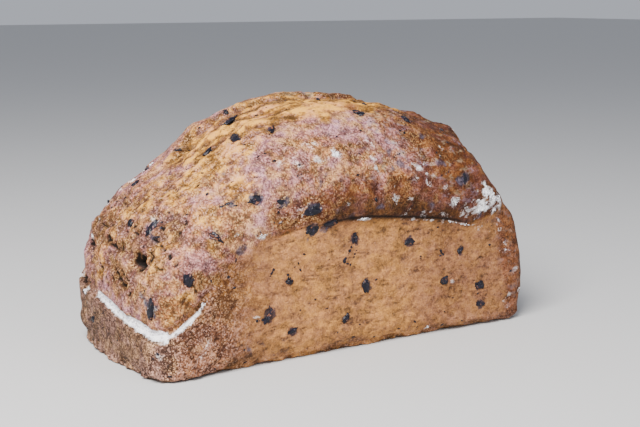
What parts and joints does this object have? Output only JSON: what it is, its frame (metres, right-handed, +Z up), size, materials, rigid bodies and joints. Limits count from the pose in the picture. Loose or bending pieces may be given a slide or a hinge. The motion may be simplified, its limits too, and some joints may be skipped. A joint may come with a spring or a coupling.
{
  "type": "durum wheat loaf",
  "caption": "Tin-baked durum wheat loaf with black olive pieces: a high rolled crown over straight tin-shaped walls, its crust split round one end.",
  "frame": {"origin": "centre of the loaf's bounding box in plan, on the surface that the loaf rests on", "axes": "+Z up, +X along the loaf away from the end with the split crust, -Y towards the front wall that the picture shows"},
  "size_m": [0.275, 0.1414, 0.1512],
  "materials": {
    "crust": "baked crust, golden brown, matt, dusted with flour in places"
  },
  "bodies": {
    "root": {"loaf": "crust"}
  },
  "joints": []
}
